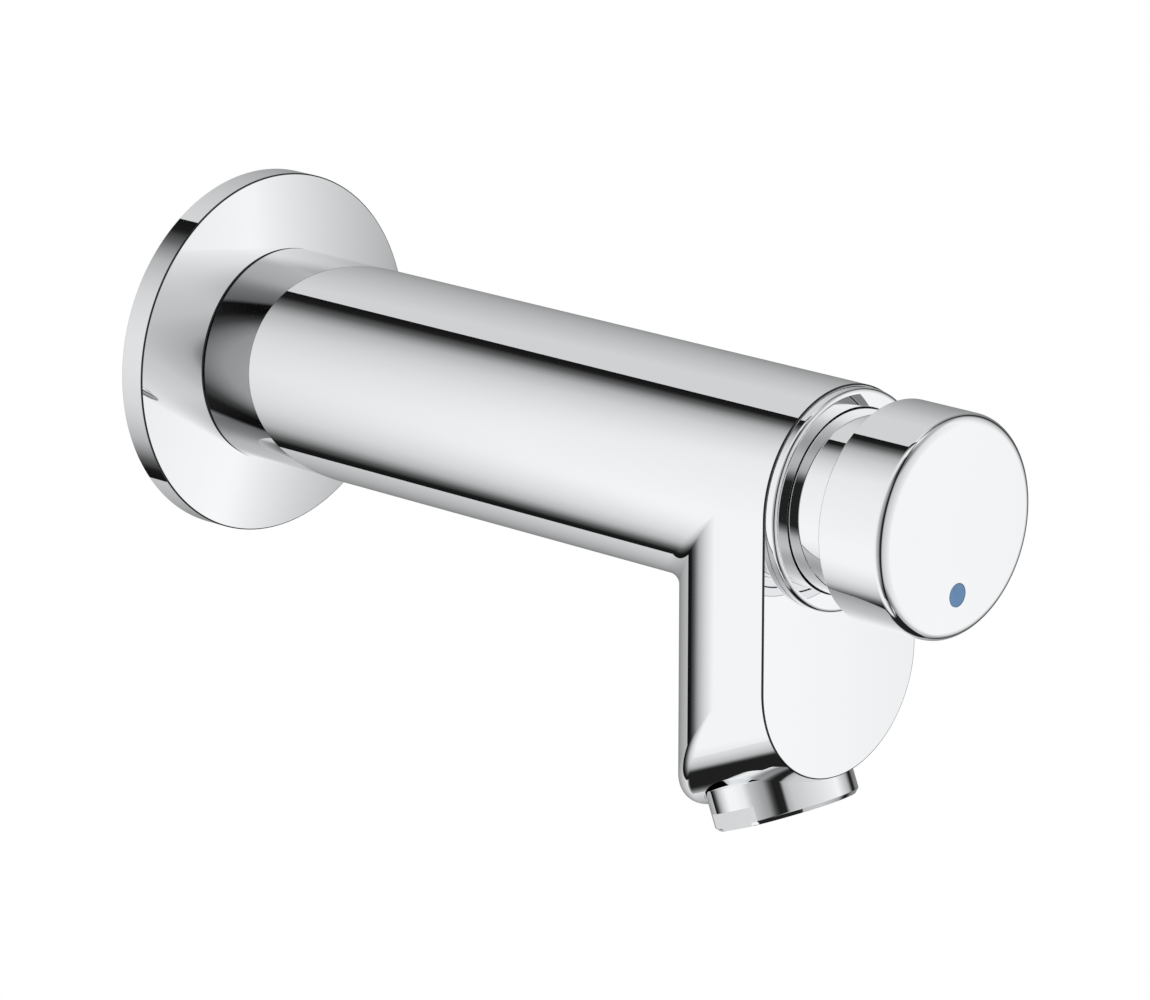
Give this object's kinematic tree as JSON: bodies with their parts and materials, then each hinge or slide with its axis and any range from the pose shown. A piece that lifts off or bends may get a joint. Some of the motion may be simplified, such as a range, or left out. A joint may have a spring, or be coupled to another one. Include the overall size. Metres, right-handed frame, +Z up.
{
  "type": "push timed tap",
  "caption": "Wall-mounted chrome push tap: round barrel on a wall plate, flat-fronted drop spout with a tilted aerator, and a large sprung self-closing button.",
  "frame": {"origin": "in the wall's surface, on the barrel's axis, where the inlet thread goes in", "axes": "+Y into the wall along the inlet thread, +Z up, the tap reaches out along -Y"},
  "size_m": [0.07, 0.1924, 0.1015],
  "materials": {
    "chrome": "polished",
    "brass": "machined",
    "stainless": "machined",
    "rubber": "matte",
    "white_plastic": "moulded",
    "grey_plastic": "moulded",
    "blue_enamel": "enamel"
  },
  "bodies": {
    "tap": {"wall_plate": "chrome", "plate_gasket": "rubber", "wall_nipple": "brass", "nipple_o_rings": "rubber", "inlet_strainer": "white_plastic", "tap_body": "chrome", "base_seal": "rubber", "lock_screw": "stainless", "cartridge_sleeve": "brass", "sleeve_o_rings": "rubber", "valve_seat": "brass", "partition_seal": "rubber", "return_spring": "stainless", "bleed_needle": "stainless", "guide_bush": "white_plastic", "stem_seal": "rubber", "snap_ring": "stainless", "retaining_collar": "chrome", "collar_seal": "rubber", "neck_guide": "grey_plastic", "aerator_housing": "chrome", "aerator_gasket": "rubber", "aerator_insert": "white_plastic", "aerator_screen": "stainless"},
    "push_button": {"button_cap": "chrome", "colour_dot": "blue_enamel", "button_neck": "chrome", "button_nut": "stainless", "cap_ring": "rubber", "stem": "stainless", "piston_clip": "stainless", "timing_piston": "white_plastic", "piston_lip_seal": "rubber", "seat_washer": "rubber", "washer_holder": "brass", "stem_nut": "stainless"}
  },
  "joints": [
    {"name": "button_push", "type": "slide", "parent": "tap", "child": "push_button", "axis": [0, 1, 0], "range_m": [0, 0.008], "stiffness_N_per_m": 700, "springref_m": -0.012, "deforming": ["return_spring"]}
  ]
}
